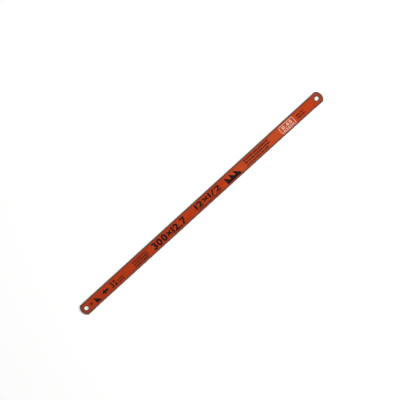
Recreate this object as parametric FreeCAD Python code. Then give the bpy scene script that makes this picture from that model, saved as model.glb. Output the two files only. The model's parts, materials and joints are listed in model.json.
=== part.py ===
import FreeCAD, Part

import math
import os

# Hand hacksaw blade: one steel strip with a pin hole at each rounded end, and fine teeth
# along one long edge that are set in waves to either side.
# Frame: +X along the blade, the teeth on the -Y edge with their cutting faces towards -X,
# and +Z up from the surface that the blade lies on. The origin is under the blade's middle.
# Sizes are in millimetres.

# Strip
pin_centres = 300.0        # between the centres of the two pin holes
pin_hole_diameter = 4.2
blade_width = 12.7         # from the back edge to the tooth tips
strip_thickness = 0.65
end_overhang = 6.0         # from a pin hole's centre to the tip of its rounded end
end_radius = 8.0           # of the curve across an end
corner_radius = 1.0        # where an end's curve meets a long edge
back_edge_radius = 0.12    # of the rolled arrises along the back edge

# Teeth
inch = 25.4
teeth_per_inch = 32
tooth_depth = 0.44
gullet_floor = 0.13        # flat between a tooth's sloping back and the gullet's corner
gullet_corner = 0.09       # chamfer between the floor and the next cutting face
plain_length = 7.0         # at least this much has no teeth, inwards from each pin hole's centre

# Set: the toothed edge is bent in waves, past one face of the strip and then past the other
teeth_per_wave = 10
set_per_side = 0.18        # how far the outermost tooth tips stand past each face of the strip
set_band = 1.8             # height of the bent band, from the tooth tips inwards

# Worked out from the sizes above
tooth_pitch = inch / teeth_per_inch
wave_length = teeth_per_wave * tooth_pitch
wave_count = int((pin_centres - 2 * plain_length) // wave_length)
waves_start = -wave_count * wave_length / 2
waves_end = -waves_start
half_width = blade_width / 2
half_thickness = strip_thickness / 2
half_length = pin_centres / 2 + end_overhang
tip_line = -half_width
bend_line = tip_line + set_band
middle_height = half_thickness + set_per_side   # of the strip's middle plane, as it lies


def at(x, y, z=0.0):
    return FreeCAD.Vector(x, y, z)


def plate(outline, thickness):
    """A flat piece with this closed outline, as thick above its middle plane as below it."""
    face = Part.Face(Part.Wire(outline))
    face.translate(at(0, 0, -thickness / 2))
    return face.extrude(at(0, 0, thickness))


def polyline(points):
    return Part.makePolygon(points).Edges


def halfway_along_back(tip):
    """The point midway along the sloping back of the tooth whose tip is at this x."""
    back_length = tooth_pitch - gullet_floor - gullet_corner
    return at(tip + tooth_pitch / 2, tip_line + tooth_depth * tooth_pitch / 2 / back_length)


def gullet(tip):
    """The points of the gullet behind the tooth whose tip is at this x."""
    foot = tip + tooth_pitch
    deepest = tip_line + tooth_depth
    return [
        at(foot - gullet_corner - gullet_floor, deepest),
        at(foot - gullet_corner, deepest),
        at(foot, deepest - gullet_corner),
    ]


def wave_outline():
    """The outline of one wave, from its teeth in to the bend line. It starts and ends halfway
    along a tooth's back, where the wave crosses the strip's middle plane."""
    first_tip = -tooth_pitch / 2
    last_tip = wave_length - tooth_pitch / 2
    points = [at(0, bend_line), halfway_along_back(first_tip)] + gullet(first_tip)
    for tooth in range(1, teeth_per_wave):
        tip = first_tip + tooth * tooth_pitch
        points += [at(tip, tip_line)] + gullet(tip)
    points += [at(last_tip, tip_line), halfway_along_back(last_tip), at(wave_length, bend_line)]
    return polyline(points + points[:1])


def wavy_section(y):
    """A lengthwise section of the bent band, at this place across the blade."""
    swing = set_per_side * (bend_line - y) / set_band
    turns = 2 * math.pi / wave_length
    eighth = wave_length / 8
    places = [i * eighth for i in range(-1, 10)]
    sides = []
    for face in (-half_thickness, half_thickness):
        points = [at(x, y, face + swing * math.sin(turns * x)) for x in places]
        slope = at(1, 0, swing * turns * math.cos(turns * places[0]))
        curve = Part.BSplineCurve()
        curve.interpolate(
            Points=points, Parameters=places, InitialTangent=slope, FinalTangent=slope, Scale=False
        )
        sides.append(curve.toShape())
    below, above = sides
    first, last = [
        Part.LineSegment(below.Vertexes[i].Point, above.Vertexes[i].Point).toShape() for i in (0, 1)
    ]
    return Part.Wire([below, last, above, first])


def one_wave():
    """The solid of one wave: a band that fans out from the straight bend line to a wavy edge,
    with the teeth cut through it."""
    band = Part.makeLoft([wavy_section(bend_line), wavy_section(tip_line)], True, True)
    return band.common(plate(wave_outline(), 4 * middle_height)).Solids[0]


def strip_outline():
    """The blade's outline, with a slot along one edge that the waves of teeth fill."""
    corner = half_length - end_radius + math.sqrt(end_radius**2 - half_width**2)
    first_tip = waves_start - tooth_pitch / 2
    last_tip = waves_end - tooth_pitch / 2
    toothed_edge = polyline(
        [
            at(-corner, tip_line),
            at(first_tip, tip_line),
            halfway_along_back(first_tip),
            at(waves_start, bend_line),
            at(waves_end, bend_line),
            halfway_along_back(last_tip),
            *gullet(last_tip),
            at(last_tip + tooth_pitch, tip_line),
            at(corner, tip_line),
        ]
    )
    right_end = Part.Arc(at(corner, tip_line), at(half_length, 0), at(corner, half_width)).toShape()
    back = polyline([at(corner, half_width), at(-corner, half_width)])
    left_end = Part.Arc(at(-corner, half_width), at(-half_length, 0), at(-corner, tip_line)).toShape()
    return toothed_edge + [right_end] + back + [left_end]


def strip_without_waves():
    """Flat stock with a rolled back edge, cut to the blade's outline, with its pin holes."""
    corner_of_stock = at(-half_length, tip_line, -half_thickness)
    stock = Part.makeBox(2 * half_length, blade_width, strip_thickness, corner_of_stock)
    arrises = [
        e for e in stock.Edges if e.CenterOfMass.y > half_width / 2 and e.Length > half_length
    ]
    stock = stock.makeFillet(back_edge_radius, arrises)
    blank = plate(strip_outline(), 2 * strip_thickness)
    corners = [
        e
        for e in blank.Edges
        if abs(e.CenterOfMass.x) > pin_centres / 2 and e.BoundBox.ZLength > strip_thickness
    ]
    blank = blank.makeFillet(corner_radius, corners)
    for end in (-1, 1):
        foot = at(end * pin_centres / 2, 0, -strip_thickness)
        blank = blank.cut(Part.makeCylinder(pin_hole_diameter / 2, 2 * strip_thickness, foot))
    return stock.common(blank)


def hacksaw_blade():
    wave = one_wave()
    waves = []
    for i in range(wave_count):
        copy = wave.copy()
        copy.translate(at(waves_start + i * wave_length, 0))
        waves.append(copy)
    blade = strip_without_waves().multiFuse(waves).removeSplitter()
    blade.translate(at(0, 0, middle_height))
    return blade.Solids[0]


def main():
    os.makedirs("parts", exist_ok=True)
    blade = hacksaw_blade()
    blade.exportStep("parts/blade.step")
    box = blade.optimalBoundingBox(True, False)
    print(f"blade: {box.XLength:.2f} x {box.YLength:.2f} x {box.ZLength:.2f} mm,", end=" ")
    print(f"{wave_count} waves of {teeth_per_wave} teeth, {blade.Volume:.1f} mm3")


main()
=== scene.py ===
import json
import math
import random

import bmesh
import bpy
from mathutils import Matrix, Vector


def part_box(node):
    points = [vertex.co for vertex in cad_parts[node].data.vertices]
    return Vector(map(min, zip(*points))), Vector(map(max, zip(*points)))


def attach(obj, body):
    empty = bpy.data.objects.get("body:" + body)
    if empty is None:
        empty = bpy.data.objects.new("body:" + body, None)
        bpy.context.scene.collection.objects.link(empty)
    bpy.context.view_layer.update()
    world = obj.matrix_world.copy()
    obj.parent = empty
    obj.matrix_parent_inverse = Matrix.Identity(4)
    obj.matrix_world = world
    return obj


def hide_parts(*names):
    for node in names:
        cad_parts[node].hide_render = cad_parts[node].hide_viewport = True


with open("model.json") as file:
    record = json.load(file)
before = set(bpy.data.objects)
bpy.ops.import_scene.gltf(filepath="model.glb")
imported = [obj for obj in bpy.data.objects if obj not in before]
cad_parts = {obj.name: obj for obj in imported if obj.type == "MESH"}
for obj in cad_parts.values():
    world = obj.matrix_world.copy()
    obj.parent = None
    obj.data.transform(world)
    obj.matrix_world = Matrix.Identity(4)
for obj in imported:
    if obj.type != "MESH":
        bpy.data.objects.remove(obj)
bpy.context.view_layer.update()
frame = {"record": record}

# Looks of a painted hand hacksaw blade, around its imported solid.
# Lengths are in millimetres until a mesh is finished, and metres after that.

mm = 0.001       # in metres
inch = 25.4      # in millimetres

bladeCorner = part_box("blade")[1]
rightPin = next(m for m in frame["record"]["mounts"] if m["name"] == "right_pin_hole")
halfLength = bladeCorner.x / mm
halfWidth = bladeCorner.y / mm
pinX = rightPin["pos_m"][0] / mm
pinRadius = rightPin["dims"]["r_mm"]
thickness = rightPin["dims"]["length_mm"]
setPerSide = (bladeCorner.z / mm - thickness) / 2      # how far the wave-set teeth pass each face
lowerFace = setPerSide
upperFace = setPerSide + thickness
print("frame read:", round(2 * halfLength, 2), "x", round(2 * halfWidth, 2), "mm")


# Node wiring

class Socket:
    # a node's output that can stand in a sum, such as 1 - mask or noise * 0.2
    def __init__(self, wiring, out):
        self.wiring = wiring
        self.out = out

    def maths(self, operation, first, second=0.0, clamp=False):
        settings = {"operation": operation, "use_clamp": clamp}
        return self.wiring.node("ShaderNodeMath", settings, {0: first, 1: second})

    def __add__(self, other):
        return self.maths("ADD", self, other)

    def __radd__(self, other):
        return self.maths("ADD", other, self)

    def __sub__(self, other):
        return self.maths("SUBTRACT", self, other)

    def __rsub__(self, other):
        return self.maths("SUBTRACT", other, self)

    def __mul__(self, other):
        return self.maths("MULTIPLY", self, other)

    def __rmul__(self, other):
        return self.maths("MULTIPLY", other, self)

    def __pow__(self, power):
        return self.maths("POWER", self, power)

    def __abs__(self):
        return self.maths("ABSOLUTE", self)

    def least(self, other):
        return self.maths("MINIMUM", self, other)

    def most(self, other):
        return self.maths("MAXIMUM", self, other)

    def clamped(self):
        return self.maths("ADD", self, 0.0, clamp=True)


class Wiring:
    # the nodes of a material or of the world
    def __init__(self, tree):
        self.tree = tree

    def plug(self, socket, value):
        if isinstance(value, Socket):
            self.tree.links.new(value.out, socket)
        else:
            socket.default_value = value

    def node(self, kind, settings, inputs, output=0):
        # any node: its settings first, then the values or links of its sockets
        made = self.tree.nodes.new(kind)
        for key, value in settings.items():
            setattr(made, key, value)
        for key, value in inputs.items():
            self.plug(made.inputs[key], value)
        return Socket(self, made.outputs[output])

    def mixed(self, share, first, second):
        settings = {"data_type": "RGBA", "blend_type": "MIX", "clamp_factor": True}
        return self.node("ShaderNodeMix", settings, {0: share, 6: first, 7: second}, output=2)

    def ramp(self, value, start, end):
        # 0 up to start, 1 from end on, smooth between
        inputs = {"Value": value, "From Min": start, "From Max": end}
        return self.node("ShaderNodeMapRange", {"interpolation_type": "SMOOTHSTEP"}, inputs)

    def showsBackground(self):
        # 1 for the rays that show what lies behind: the camera's own, mirrored, or through glass
        kinds = ("Is Camera Ray", "Is Glossy Ray", "Is Transmission Ray")
        camera, glossy, glass = [self.node("ShaderNodeLightPath", {}, {}, kind) for kind in kinds]
        return camera.most(glossy).most(glass)


noiseMiddle = 0.5    # of the values that a noise gives


class Finish(Wiring):
    # a material being wired up
    inputNames = {
        "colour": "Base Color",
        "roughness": "Roughness",
        "normal": "Normal",
        "specular": "Specular IOR Level",
        "glow": "Emission Color",
        "glowStrength": "Emission Strength",
    }

    def __init__(self, name):
        self.material = bpy.data.materials.new(name)
        self.material.use_nodes = True
        super().__init__(self.material.node_tree)

    def set(self, **values):
        shader = self.tree.nodes["Principled BSDF"]
        for key, value in values.items():
            self.plug(shader.inputs[self.inputNames[key]], value)

    def place(self):
        # this point of the piece, in millimetres of the blade's own frame
        coords = self.node("ShaderNodeTexCoord", {}, {}, "Object")
        return self.node("ShaderNodeVectorMath", {"operation": "SCALE"}, {0: coords, "Scale": 1 / mm})

    def noise(self, place, scale, detail=2.0, roughness=0.5, stretch=None):
        if stretch:
            place = self.node("ShaderNodeVectorMath", {"operation": "MULTIPLY"}, {0: place, 1: stretch})
        inputs = {"Vector": place, "Scale": scale, "Detail": detail, "Roughness": roughness}
        return self.node("ShaderNodeTexNoise", {"noise_dimensions": "3D"}, inputs)

    def bump(self, height, strength, distance):
        inputs = {"Height": height, "Strength": strength, "Distance": distance}
        return self.node("ShaderNodeBump", {}, inputs)


# Enamel

paintFinish = {
    "plain": (0.44, 0.037, 0.0030, 1),        # orange-red
    "deep": (0.37, 0.029, 0.0035, 1),         # where the coat is thicker
    "bright": (0.50, 0.050, 0.005, 1),        # where it is thinner
    "coatShares": (0.5, 0.3, 0.2),            # of cloud, streak and mottle in the coat
    "deepToPlain": (0.38, 0.5),               # values of the coat over which its colour turns
    "plainToBright": (0.5, 0.66),
    "pale": (0.485, 0.060, 0.012, 1),         # painted sheen: a paler stretch right of the middle, where the light fell brighter
    "paleStart": (25, 52),                    # mm from the middle, over which it comes in
    "paleEnd": (108, 138),                    # and over which it goes out
    "paleShare": 0.9,
    "shadeWidth": (0.8, 3.6),                 # mm in from an edge, over which the paint darkens towards the deep colour
    "shadeShare": 0.6,
    "rim": (0.095, 0.055, 0.036, 1),          # dark brown, along the edges and round the pin holes
    "rimFaint": (0.165, 0.055, 0.025, 1),     # in patches of it
    "faintShares": (0.4, 0.6),                # of mottle and grit in the patches
    "faintPatches": (0.42, 0.62),
    "faintShare": 0.7,
    "rimWidth": (0.0, 2.6),                   # mm in from an edge, over which the rim fades
    "rimStray": (0.6, 0.45),                  # mm that mottle and grit shift it
    "rimShare": 0.9,
    "pinRimWidth": (0.05, 2.8),               # mm out from a pin hole
    "pinRimStray": 0.4,
    "pinRimShare": 0.8,
    "rimRoughness": 0.08,
    "endShare": 0.55,                         # of the way in from an end that counts, for wider rims
    "cut": (0.040, 0.025, 0.018, 1),          # the cut edges themselves
    "cutWidth": (0.0, 0.4),
    "cutShare": 0.7,
    "bare": (0.05, 0.035, 0.03, 1),           # specks knocked off the arrises
    "bareSpecks": (0.63, 0.68),
    "bareWidth": (0.1, 0.4),
    "bareShare": 0.8,
    "roughness": 0.36,
    "streakRoughness": 0.16,
    "specular": 0.12,
    "peelShare": 0.8,                         # of the surface's height
    "scratches": (0.62, 0.75),
    "scratchShare": -0.5,
    "bumpStrength": 0.5,
    "peelHeight": 0.008 * mm,
    "cloud": {"scale": 0.12, "stretch": (0.35, 1, 1)},
    "streak": {"scale": 1.1, "detail": 3.0, "stretch": (0.04, 1, 1)},
    "mottle": {"scale": 0.9, "detail": 4.0, "roughness": 0.6},
    "grit": {"scale": 5.5, "detail": 3.0, "roughness": 0.6},
    "speck": {"scale": 3.2},
    "peel": {"scale": 1.4},
    "scratch": {"scale": 1.0, "stretch": (0.05, 6, 6)},
}


def distanceFromEdge(finish, place):
    # how far in from the back edge, the gullets or a rounded end, and from a pin hole, in mm
    axes = [finish.node("ShaderNodeSeparateXYZ", {}, {"Vector": place}, axis) for axis in "XY"]
    x, y = abs(axes[0]), axes[1]
    beyond = (x - (halfLength - bladeForm["endRadius"])).most(0.0)
    fromEnd = bladeForm["endRadius"] - (beyond ** 2 + y ** 2) ** 0.5
    fromPin = ((x - pinX) ** 2 + y ** 2) ** 0.5 - pinRadius
    fromLongEdge = (halfWidth - y).least(y + (halfWidth - bladeForm["toothDepth"]))
    return fromLongEdge.least(fromEnd * paintFinish["endShare"]), fromPin


def paintMaterial():
    look = paintFinish
    finish = Finish("paint_enamel")
    place = finish.place()
    fromEdge, fromPin = distanceFromEdge(finish, place)
    patterns = ("cloud", "streak", "mottle", "grit", "speck", "peel", "scratch")
    cloud, streak, mottle, grit, speck, peel, scratch = [
        finish.noise(place, **look[pattern]) for pattern in patterns
    ]
    cloudShare, streakShare, mottleShare = look["coatShares"]
    coat = (cloud * cloudShare + streak * streakShare + mottle * mottleShare).clamped()
    colour = finish.mixed(finish.ramp(coat, *look["deepToPlain"]), look["deep"], look["plain"])
    colour = finish.mixed(finish.ramp(coat, *look["plainToBright"]), colour, look["bright"])
    # Painted sheen: the paint is paler over a stretch right of the middle, standing in for brighter
    # light there
    along = finish.node("ShaderNodeSeparateXYZ", {}, {"Vector": place}, "X")
    comesIn = finish.ramp(along, *look["paleStart"])
    goesOut = finish.ramp(along, *look["paleEnd"])
    pale = comesIn * (1 - goesOut) * look["paleShare"]
    colour = finish.mixed(pale, colour, look["pale"])
    shade = 1 - finish.ramp(fromEdge, *look["shadeWidth"])
    colour = finish.mixed(shade * look["shadeShare"], colour, look["deep"])

    mottleStray, gritStray = look["rimStray"]
    ragged = fromEdge + (mottle - noiseMiddle) * mottleStray + (grit - noiseMiddle) * gritStray
    rim = 1 - finish.ramp(ragged, *look["rimWidth"])
    raggedPin = fromPin + (mottle - noiseMiddle) * look["pinRimStray"]
    pinRim = 1 - finish.ramp(raggedPin, *look["pinRimWidth"])
    faintMottle, faintGrit = look["faintShares"]
    faint = finish.ramp(mottle * faintMottle + grit * faintGrit, *look["faintPatches"])
    edge = finish.mixed(faint * look["faintShare"], look["rim"], look["rimFaint"])
    rims = rim.most(pinRim * look["pinRimShare"])
    colour = finish.mixed(rims * look["rimShare"], colour, edge)

    cut = 1 - finish.ramp(fromEdge.least(fromPin), *look["cutWidth"])
    colour = finish.mixed(cut * look["cutShare"], colour, look["cut"])
    specks = finish.ramp(speck, *look["bareSpecks"])
    specks = specks * (1 - finish.ramp(fromEdge, *look["bareWidth"]))
    colour = finish.mixed(specks * look["bareShare"], colour, look["bare"])
    scratched = finish.ramp(scratch, *look["scratches"])
    height = peel * look["peelShare"] + scratched * look["scratchShare"]
    roughness = look["roughness"] + (streak - noiseMiddle) * look["streakRoughness"]
    finish.set(
        colour=colour,
        roughness=roughness + rim * look["rimRoughness"],
        specular=look["specular"],
        normal=finish.bump(height, look["bumpStrength"], look["peelHeight"]),
    )
    return finish.material


# Ink

inkFinish = {
    "dark": (0.006, 0.004, 0.005, 1),
    "darkThin": (0.055, 0.010, 0.006, 1),     # where the ink lets the enamel through
    "white": (0.74, 0.50, 0.40, 1),
    "whiteThin": (0.55, 0.17, 0.09, 1),
    "thinShares": (0.6, 0.4),                 # of patch and fleck in the thin spots
    "thinSpots": (0.5, 0.66),
    "thinShare": 0.75,
    "roughness": 0.5,
    "fleckRoughness": 0.2,
    "specular": 0.08,
    "bumpStrength": 0.3,
    "grainHeight": 0.003 * mm,
    "patch": {"scale": 0.55, "detail": 3.0, "roughness": 0.6},
    "fleck": {"scale": 4.5, "roughness": 0.6},
}


def inkMaterial(name, full, thin):
    look = inkFinish
    finish = Finish(name)
    place = finish.place()
    patch = finish.noise(place, **look["patch"])
    fleck = finish.noise(place, **look["fleck"])
    patchShare, fleckShare = look["thinShares"]
    worn = finish.ramp(patch * patchShare + fleck * fleckShare, *look["thinSpots"])
    finish.set(
        colour=finish.mixed(worn * look["thinShare"], full, thin),
        roughness=look["roughness"] + (fleck - noiseMiddle) * look["fleckRoughness"],
        specular=look["specular"],
        normal=finish.bump(fleck, look["bumpStrength"], look["grainHeight"]),
    )
    return finish.material


# Blade

bladeForm = {
    "teethPerInch": 32,
    "toothDepth": 0.44,
    "gulletRadius": 0.16,
    "gulletSteps": 6,
    "teethPerWave": 10,
    "setBand": 1.8,            # height of the bent band
    "plainLength": 7.0,        # without teeth, inwards from each pin
    "endRadius": 8.0,
    "cornerRadius": 1.0,
    "outlineStep": 0.5,        # between the outline's points
    "cornerSteps": 3,          # how many times closer they are round a small corner
    "fewestSteps": 3,          # in any arc
    "sideStep": 1.0,           # across the blade, where the toothed part starts and ends
    "ringShare": 0.3,          # of the way from a pin hole to the outline
    "backRound": 0.12,
    "endRound": 0.05,
    "toothRound": 0.012,
    "roundSteps": 3,
    "sharpTurn": 20,           # degrees, above which two walls meet in an edge
    "digits": 4,               # to which the places of shared points agree
    "slack": 0.01,             # within which a point is at the toothed part's end
}


def bladeLayout():
    # places along the blade that follow from its form
    pitch = inch / bladeForm["teethPerInch"]
    waveLength = bladeForm["teethPerWave"] * pitch
    waves = int((2 * (pinX - bladeForm["plainLength"])) // waveLength)
    start = -waves * waveLength / 2
    gullets = waves * bladeForm["teethPerWave"] + 1
    return {
        "pitch": pitch,
        "waveLength": waveLength,
        "wavesStart": start,
        "wavesEnd": -start,
        "gullets": gullets,
        "firstTip": start - pitch / 2,
        "lastTip": start - pitch / 2 + gullets * pitch,
        "tipLine": -halfWidth,
        "bendLine": -halfWidth + bladeForm["setBand"],
    }


def toothProfile(pitch):
    # from a tip at (0, 0), up its back and round the gullet to the next cutting face
    radius = bladeForm["gulletRadius"]
    centre = Vector((pitch - radius, bladeForm["toothDepth"] - radius))
    slope = math.atan2(centre.y, centre.x) + math.asin(radius / centre.length)
    reach = math.sqrt(centre.length ** 2 - radius ** 2)
    touch = Vector((math.cos(slope), math.sin(slope))) * reach
    startTurn = slope + math.pi / 2
    steps = bladeForm["gulletSteps"]
    turns = [startTurn * (1 - i / steps) for i in range(1, steps + 1)]
    arc = [centre + Vector((math.cos(t), math.sin(t))) * radius for t in turns]
    return [Vector((0, 0)), touch / 2, touch] + arc


class Plate:
    # a flat sheet built from pairs of points, one on each face
    def __init__(self, layout):
        self.layout = layout
        self.bm = bmesh.new()
        self.pairs = {}
        self.weights = self.bm.edges.layers.float.new("bevel_weight_edge")

    def bend(self, x, y):
        # the wave set's sideways shift of this point
        inside = self.layout["wavesStart"] < x < self.layout["wavesEnd"]
        reach = (self.layout["bendLine"] - y) / bladeForm["setBand"]
        if not inside or reach <= 0:
            return 0.0
        phase = (x - self.layout["wavesStart"]) / self.layout["waveLength"]
        return setPerSide * reach * math.sin(2 * math.pi * phase)

    def pair(self, point):
        digits = bladeForm["digits"]
        key = (round(point[0], digits), round(point[1], digits))
        if key not in self.pairs:
            shift = self.bend(*key)
            self.pairs[key] = [
                self.bm.verts.new(Vector((key[0], key[1], face + shift)) * mm)
                for face in (upperFace, lowerFace)
            ]
        return self.pairs[key]

    def cover(self, points):
        # the two faces of one cell, given anticlockwise from above
        pairs = [self.pair(p) for p in points]
        self.bm.faces.new([top for top, bottom in pairs])
        self.bm.faces.new([bottom for top, bottom in reversed(pairs)])

    def wall(self, points, rounding):
        # the sides along a closed line, with the solid on its left
        pairs = [self.pair(p) for p in points]
        count = len(points)
        for i in range(count):
            (topA, bottomA), (topB, bottomB) = pairs[i], pairs[(i + 1) % count]
            self.bm.faces.new([bottomA, bottomB, topB, topA])
            weight = rounding(points[i], points[(i + 1) % count]) / bladeForm["backRound"]
            self.bm.edges.get((topA, topB))[self.weights] = weight
            self.bm.edges.get((bottomA, bottomB))[self.weights] = weight
            before, here, after = (Vector(points[j % count]) for j in (i - 1, i, i + 1))
            if (here - before).angle(after - here) > math.radians(bladeForm["sharpTurn"]):
                self.bm.edges.get((topA, bottomA)).smooth = False


def between(start, end, step):
    # evenly spaced points from start up to, but not at, end
    start, end = Vector(start), Vector(end)
    count = max(1, round((end - start).length / step))
    return [tuple(start.lerp(end, i / count)) for i in range(count)]


def around(centre, radius, start, end, step):
    # the same along an arc, between two angles in radians
    count = max(bladeForm["fewestSteps"], round(abs(end - start) * radius / step))
    turns = [start + (end - start) * i / count for i in range(count)]
    return [(centre[0] + radius * math.cos(t), centre[1] + radius * math.sin(t)) for t in turns]


def endOutline(fromX):
    # the right end's outline from the toothed side round to the back edge, both at fromX
    radius = bladeForm["endRadius"]
    corner = bladeForm["cornerRadius"]
    step = bladeForm["outlineStep"]
    fineStep = step / bladeForm["cornerSteps"]
    centreX = halfLength - radius
    inner = halfWidth - corner
    cornerX = centreX + math.sqrt((radius - corner) ** 2 - inner ** 2)
    turn = math.atan2(inner, cornerX - centreX)
    points = between((fromX, -halfWidth), (cornerX, -halfWidth), step)
    points += around((cornerX, -inner), corner, -math.pi / 2, -turn, fineStep)
    points += around((centreX, 0), radius, -turn, turn, step)
    points += around((cornerX, inner), corner, turn, math.pi / 2, fineStep)
    points += between((cornerX, halfWidth), (fromX, halfWidth), step)
    return points + [(fromX, halfWidth)]


def mirrored(points):
    return [(-x, y) for x, y in reversed(points)]


def endPad(plate, loop, side):
    # the plain end round a pin hole, as rings between the hole and its surroundings
    centre = Vector((side * pinX, 0))
    rings = [[], [], []]
    for point in loop:
        outward = Vector(point) - centre
        hole = centre + outward.normalized() * pinRadius
        rings[0].append(tuple(hole))
        rings[1].append(tuple(hole.lerp(Vector(point), bladeForm["ringShare"])))
        rings[2].append(point)
    count = len(loop)
    for inner, outer in ((rings[0], rings[1]), (rings[1], rings[2])):
        for i in range(count):
            j = (i + 1) % count
            plate.cover([outer[i], outer[j], inner[j], inner[i]])
    plate.wall(rings[0][::-1], lambda a, b: bladeForm["endRound"])


def toothedPart(plate, layout, sideHeights):
    # one strip of cells for each tooth, from its gullet to the back edge; gives the toothed line
    bendLine = layout["bendLine"]
    tooth = toothProfile(layout["pitch"])
    toothedLine = []
    for k in range(layout["gullets"]):
        left = layout["firstTip"] + k * layout["pitch"]
        right = left + layout["pitch"]
        profile = [(left + p.x, layout["tipLine"] + p.y) for p in tooth]
        tip, halfBack, touch, *arc = profile
        bends = [(x, bendLine) for x in (left, halfBack[0], touch[0], right)]
        footBefore = [(left, arc[-1][1])] if k > 0 else []
        plate.cover([bends[0], *footBefore, tip, halfBack, bends[1]])
        plate.cover([bends[1], halfBack, touch, bends[2]])
        plate.cover([bends[2], touch, *arc, bends[3]])
        leftSide = [(left, y) for y in reversed(sideHeights)] if k == 0 else []
        rightSide = [(right, y) for y in sideHeights] if k == layout["gullets"] - 1 else []
        plate.cover([(left, halfWidth), *leftSide, *bends, *rightSide, (right, halfWidth)])
        toothedLine += profile
    return toothedLine


def bladeMesh():
    layout = bladeLayout()
    plate = Plate(layout)
    firstTip, lastTip, bendLine = layout["firstTip"], layout["lastTip"], layout["bendLine"]
    side = between((0, bendLine), (0, halfWidth), bladeForm["sideStep"])
    sideHeights = [y for x, y in side[1:]]
    toothedLine = toothedPart(plate, layout, sideHeights)
    lastFoot = (lastTip, toothedLine[-1][1])

    rightEnd = endOutline(lastTip)
    leftEnd = mirrored(endOutline(-firstTip))
    rightSide = [(lastTip, y) for y in reversed(sideHeights)] + [(lastTip, bendLine), lastFoot]
    leftSide = [(firstTip, bendLine)] + [(firstTip, y) for y in sideHeights]
    endPad(plate, rightEnd + rightSide, 1)
    endPad(plate, leftEnd + leftSide, -1)

    def rounding(a, b):
        if a[1] == b[1] == halfWidth:
            return bladeForm["backRound"]
        slack = bladeForm["slack"]
        nearTeeth = all(firstTip - slack < x < lastTip + slack for x in (a[0], b[0]))
        return bladeForm["toothRound"] if nearTeeth else bladeForm["endRound"]

    backs = [(firstTip + k * layout["pitch"], halfWidth) for k in range(1, layout["gullets"])]
    plate.wall(toothedLine + rightEnd + backs[::-1] + leftEnd[:-1], rounding)
    bmesh.ops.recalc_face_normals(plate.bm, faces=plate.bm.faces)
    openEdges = sum(len(edge.link_faces) != 2 for edge in plate.bm.edges)
    print("blade mesh:", len(plate.bm.faces), "faces,", openEdges, "open edges")
    for face in plate.bm.faces:
        face.smooth = True
    mesh = bpy.data.meshes.new("bladeStrip")
    plate.bm.to_mesh(mesh)
    plate.bm.free()
    return mesh


def placed(name, mesh):
    piece = bpy.data.objects.new(name, mesh)
    bpy.context.collection.objects.link(piece)
    return piece


def addBlade(paint):
    mesh = bladeMesh()
    mesh.materials.append(paint)
    blade = placed("bladeStrip", mesh)
    bevel = blade.modifiers.new("rounding", "BEVEL")
    bevel.limit_method = "WEIGHT"
    bevel.width = bladeForm["backRound"] * mm
    bevel.segments = bladeForm["roundSteps"]
    bevel.use_clamp_overlap = False
    bevel.face_strength_mode = "FSTR_ALL"
    weighted = blade.modifiers.new("flats", "WEIGHTED_NORMAL")
    weighted.keep_sharp = True
    weighted.use_face_influence = True
    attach(blade, "root")
    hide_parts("blade")


# Print on the upper face. Each place is (left, lower, right, upper), in millimetres from the
# left pin hole along the blade and from its middle line across it.

printing = {
    "thickness": 0.012,        # above the face
    "sunk": 0.004,             # below it, so that no gap shows
    "corner": 0.16,            # radius of a shape's corners
    "cornerSteps": 3,
    "borderSteps": 6,          # in each corner of a border
    "cornerReach": 0.45,       # the most of a side that one corner takes
    "wordGap": 0.55,
    "blockGap": 0.17,
    "blocks": (0.42, 0.78),    # widths in a row of small print
    "wordLengths": (2, 7),     # in blocks
    "drops": (0, 0, 0, 0.22),  # shares of a row's height that a block may lack
    "figureGap": 0.8,
    "figureSteps": 12,         # in each curve of a figure
}


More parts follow.
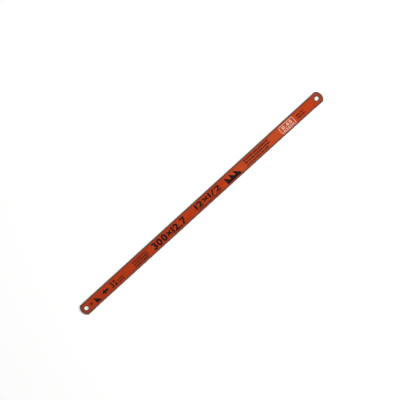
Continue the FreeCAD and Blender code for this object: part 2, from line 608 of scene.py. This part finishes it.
class Print:
    # flat shapes on the blade's face, thickened into one piece of dried ink
    def __init__(self, name, ink, seed=0):
        self.name = name
        self.ink = ink
        self.chance = random.Random(seed)
        self.bm = bmesh.new()

    def point(self, x, y):
        place = Vector((x - pinX, y, upperFace - printing["sunk"]))
        return self.bm.verts.new(place * mm)

    def shape(self, outline):
        # one closed line, with the slightly soft corners of a screen print
        line = rounded(outline, printing["corner"], printing["cornerSteps"])
        self.bm.faces.new([self.point(x, y) for x, y in line])

    def block(self, left, lower, right, upper):
        self.shape(box(left, lower, right, upper))

    def row(self, left, lower, right, upper):
        # small print, as words of little blocks
        x = left
        least, most = printing["blocks"]
        while x < right - least:
            for i in range(self.chance.randint(*printing["wordLengths"])):
                width = min(self.chance.uniform(least, most), right - x)
                if width < least:
                    break
                drop = self.chance.choice(printing["drops"]) * (upper - lower)
                self.block(x, lower, x + width, upper - drop)
                x += width + printing["blockGap"]
            x += printing["wordGap"] - printing["blockGap"]

    def border(self, left, lower, right, upper, corner, stroke):
        steps = printing["borderSteps"]
        outer = rounded(box(left, lower, right, upper), corner, steps)
        inset = box(left + stroke, lower + stroke, right - stroke, upper - stroke)
        inner = rounded(inset, corner - stroke, steps)
        rings = [[self.point(x, y) for x, y in ring] for ring in (outer, inner)]
        count = len(outer)
        for i in range(count):
            j = (i + 1) % count
            self.bm.faces.new([rings[0][i], rings[0][j], rings[1][j], rings[1][i]])

    def figures(self, body, bold, left, lower, right, upper):
        # plain figures, evenly spaced and stretched to fill their place
        glyphs = [glyph(character, bold) for character in body]
        widths = [max(x for x, y in points) - min(x for x, y in points) for points, faces in glyphs]
        heights = [y for points, faces in glyphs for x, y in points]
        gap = printing["figureGap"]
        across = (right - left - gap * (len(body) - 1)) / sum(widths)
        up = (upper - lower) / (max(heights) - min(heights))
        for (points, faces), width in zip(glyphs, widths):
            start = min(x for x, y in points)
            corners = [
                self.point(left + (x - start) * across, lower + (y - min(heights)) * up)
                for x, y in points
            ]
            for face in faces:
                self.bm.faces.new([corners[i] for i in face])
            left += width * across + gap

    def finish(self):
        for face in self.bm.faces:
            face.normal_update()
            if face.normal.z < 0:
                face.normal_flip()
        mesh = bpy.data.meshes.new(self.name)
        self.bm.to_mesh(mesh)
        self.bm.free()
        mesh.materials.append(self.ink)
        piece = placed(self.name, mesh)
        solid = piece.modifiers.new("thickness", "SOLIDIFY")
        solid.thickness = (printing["thickness"] + printing["sunk"]) * mm
        solid.offset = 1
        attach(piece, "root")


def glyph(character, bold):
    # the points and faces of one figure in Blender's own font, made bolder
    data = bpy.data.curves.new("glyph", "FONT")
    data.body = character
    data.offset = bold
    data.resolution_u = printing["figureSteps"]
    text = placed("glyph", data)
    bpy.context.view_layer.update()
    mesh = bpy.data.meshes.new_from_object(text)
    points = [(v.co.x, v.co.y) for v in mesh.vertices]
    faces = [tuple(polygon.vertices) for polygon in mesh.polygons]
    bpy.data.objects.remove(text)
    bpy.data.curves.remove(data)
    bpy.data.meshes.remove(mesh)
    return points, faces


def rounded(points, corner, steps):
    # a closed line with each corner turned into an arc
    line = []
    count = len(points)
    most = printing["cornerReach"]
    for i, here in enumerate(points):
        here = Vector(here)
        sides = [Vector(points[(i + step) % count]) - here for step in (-1, 1)]
        half = sides[0].angle(sides[1]) / 2
        reach = min(corner / math.tan(half), most * min(side.length for side in sides))
        inward = (sides[0].normalized() + sides[1].normalized()).normalized()
        centre = here + inward * reach / math.cos(half)
        start, end = (here + side.normalized() * reach - centre for side in sides)
        turn = math.atan2(start.cross(end), start.dot(end))
        for k in range(steps + 1):
            line.append(tuple(centre + Matrix.Rotation(turn * k / steps, 2) @ start))
    return line


def box(left, lower, right, upper):
    return [(left, lower), (right, lower), (right, upper), (left, upper)]


# Beside the left pin hole: two short bars, a tooth's outline and the direction of the cut

endMarks = {
    "bars": ((5.4, -1.7, 6.3, 1.6), (6.8, -1.3, 7.7, 1.2)),
    "tooth": (11.2, -3.5, 17.5, 3.3),
    "arrowTip": 20.6,
    "arrowNeck": 24.6,
    "arrowTail": 28.5,
    "headHalf": 2.5,
    "shaftHalf": 1.1,
}


def addEndMarks(ink):
    piece = Print("inkEndMarks", ink)
    for bar in endMarks["bars"]:
        piece.block(*bar)
    left, lower, right, upper = endMarks["tooth"]
    piece.shape([(left, lower), (right, lower), (left, upper)])
    tip, neck, tail = endMarks["arrowTip"], endMarks["arrowNeck"], endMarks["arrowTail"]
    head, shaft = endMarks["headHalf"], endMarks["shaftHalf"]
    lowerSide = [(neck, -head), (neck, -shaft), (tail, -shaft)]
    upperSide = [(tail, shaft), (neck, shaft), (neck, head)]
    piece.shape([(tip, 0)] + lowerSide + upperSide)
    piece.finish()


# Figures: the teeth to the inch, and the blade's size in millimetres and in inches

figurePrint = {
    "inkTeethCount": {"figures": "32", "bold": 0.045, "place": (32.1, -3.3, 39.0, 3.1)},
    "inkSizeFigures": {"figures": "300×12.7", "bold": 0.04, "place": (87.2, -3.9, 129.6, 3.8)},
    "inkInchFigures": {
        "figures": "12×1/2",
        "bold": 0.03,
        "place": (143.0, -2.1, 174.8, 3.9),
        "row": (143.4, -4.1, 174.2, -2.8),
        "seed": 4,
    },
}


def addFigurePrint(ink):
    for name, text in figurePrint.items():
        piece = Print(name, ink, text.get("seed", 0))
        piece.figures(text["figures"], text["bold"], *text["place"])
        if "row" in text:
            piece.row(*text["row"])
        piece.finish()


# Small print, as rows of blocks

smallPrint = {
    "inkSmallLeft": {"seed": 1, "rows": ((40.2, -0.9, 47.4, 0.7), (39.6, -3.2, 47.6, -1.6))},
    "inkSmallMiddle": {
        "seed": 2,
        "rows": ((61.8, 1.6, 80.8, 3.2), (61.8, -1.1, 80.8, 0.7), (61.8, -3.7, 79.6, -2.0)),
    },
    "inkSmallRight": {
        "seed": 3,
        "rows": ((207.6, 2.0, 238.8, 3.9), (207.6, -0.9, 239.2, 1.1), (207.6, -3.5, 236.4, -1.9)),
    },
    "inkSmallEnd": {"seed": 5, "rows": ((274.0, 0.4, 283.6, 1.9), (274.0, -2.4, 283.6, -0.9))},
}


def addSmallPrint(ink):
    for name, text in smallPrint.items():
        piece = Print(name, ink, text["seed"])
        for place in text["rows"]:
            piece.row(*place)
        piece.finish()


# Three big teeth on a bar

sawMark = {
    "place": (182.0, -4.2, 199.2, 3.8),
    "teeth": 3,
    "footHeight": 2.9,         # of the bar under the teeth
    "footShare": 0.2,          # of a tooth's pitch, flat behind it
}


def addSawMark(ink):
    piece = Print("inkSawMark", ink)
    left, lower, right, upper = sawMark["place"]
    pitch = (right - left) / sawMark["teeth"]
    foot = lower + sawMark["footHeight"]
    outline = [(left, lower), (right, lower)]
    for k in reversed(range(sawMark["teeth"])):
        outline.append((left + (k + 1) * pitch, foot))
        outline.append((left + (k + 1 - sawMark["footShare"]) * pitch, foot))
        outline.append((left + k * pitch, upper))
    piece.shape(outline)
    piece.finish()


# The strip's thickness in a white border

whiteLabel = {
    "border": (253.2, -4.1, 270.8, 4.2),
    "corner": 1.2,
    "stroke": 0.5,
    "figures": "0.65",
    "bold": 0.03,
    "figuresPlace": (256.0, -0.7, 268.0, 2.9),
    "row": (255.2, -2.8, 268.8, -1.7),
    "seed": 7,
}


def addWhiteLabel(ink):
    piece = Print("inkWhiteLabel", ink, whiteLabel["seed"])
    piece.border(*whiteLabel["border"], whiteLabel["corner"], whiteLabel["stroke"])
    piece.figures(whiteLabel["figures"], whiteLabel["bold"], *whiteLabel["figuresPlace"])
    piece.row(*whiteLabel["row"])
    piece.finish()


addBlade(paintMaterial())
print("blade made")

darkInk = inkMaterial("ink_black", inkFinish["dark"], inkFinish["darkThin"])
whiteInk = inkMaterial("ink_white", inkFinish["white"], inkFinish["whiteThin"])
addEndMarks(darkInk)
addFigurePrint(darkInk)
addSmallPrint(darkInk)
addSawMark(darkInk)
addWhiteLabel(whiteInk)
print("print made")


# Camera

cameraSet = {
    "lens": 168.3,                            # mm
    "sensor": 36,                             # mm across
    "nearest": 0.05,                          # metres from which the camera sees
    "distance": 1.80,
    "towards": (0.0529, 0.3349, 0.9408),      # from the blade to the camera
    "pictureRight": (0.7382, -0.6475, 0.1890),
    "aimRight": -0.00096,                     # of the picture's middle, from the blade's middle
    "aimUp": 0.00356,
}


def addCamera():
    back = Vector(cameraSet["towards"]).normalized()
    right = Vector(cameraSet["pictureRight"])
    right = (right - back * right.dot(back)).normalized()
    up = back.cross(right)
    aim = right * cameraSet["aimRight"] + up * cameraSet["aimUp"]
    data = bpy.data.cameras.new("camera")
    data.lens = cameraSet["lens"]
    data.sensor_width = cameraSet["sensor"]
    data.clip_start = cameraSet["nearest"]
    camera = placed("camera", data)
    turn = Matrix((right, up, back)).transposed().to_4x4()
    camera.matrix_world = Matrix.Translation(aim + back * cameraSet["distance"]) @ turn
    bpy.context.scene.camera = camera


# Light

lampSet = {
    "keyLamp": {"at": (0.8, -0.35, 0.6), "size": 0.6, "power": 10.0},
    "fillLamp": {"at": (-0.9, 0.7, 1.0), "size": 1.1, "power": 2.5},
}
worldSet = {"light": (0.5, 0.5, 0.5, 1), "seen": (1, 1, 1, 1)}


def addLamps():
    for name, lamp in lampSet.items():
        data = bpy.data.lights.new(name, "AREA")
        data.shape = "SQUARE"
        data.size = lamp["size"]
        data.energy = lamp["power"]
        light = placed(name, data)
        light.location = lamp["at"]
        light.rotation_euler = Vector(lamp["at"]).to_track_quat("Z", "Y").to_euler()


def addWorld():
    world = bpy.data.worlds.new("studio")
    world.use_nodes = True
    wiring = Wiring(world.node_tree)
    colour = wiring.mixed(wiring.showsBackground(), worldSet["light"], worldSet["seen"])
    wiring.plug(world.node_tree.nodes["Background"].inputs["Color"], colour)
    bpy.context.scene.world = world


# Floor

floorSet = {
    "side": 8.0,
    "cells": 8,                               # along each side
    "colour": (0.72, 0.72, 0.715, 1),
    "unlit": (0, 0, 0, 1),
    "glow": (0.35, 0.35, 0.35, 1),            # seen by the camera and in reflections only
    "glowStrength": 1.0,
    "roughness": 0.9,
    "specular": 0.0,
}


def addFloor():
    finish = Finish("floor_pale")
    finish.set(
        colour=floorSet["colour"],
        roughness=floorSet["roughness"],
        specular=floorSet["specular"],
        glow=finish.mixed(finish.showsBackground(), floorSet["unlit"], floorSet["glow"]),
        glowStrength=floorSet["glowStrength"],
    )
    bm = bmesh.new()
    cells = floorSet["cells"]
    bmesh.ops.create_grid(bm, x_segments=cells, y_segments=cells, size=floorSet["side"] / 2)
    mesh = bpy.data.meshes.new("floor")
    bm.to_mesh(mesh)
    bm.free()
    mesh.materials.append(finish.material)
    placed("floor", mesh)


addCamera()
addLamps()
addWorld()
addFloor()
bpy.context.scene.view_settings.view_transform = "Standard"
print("camera, lamps and floor made")
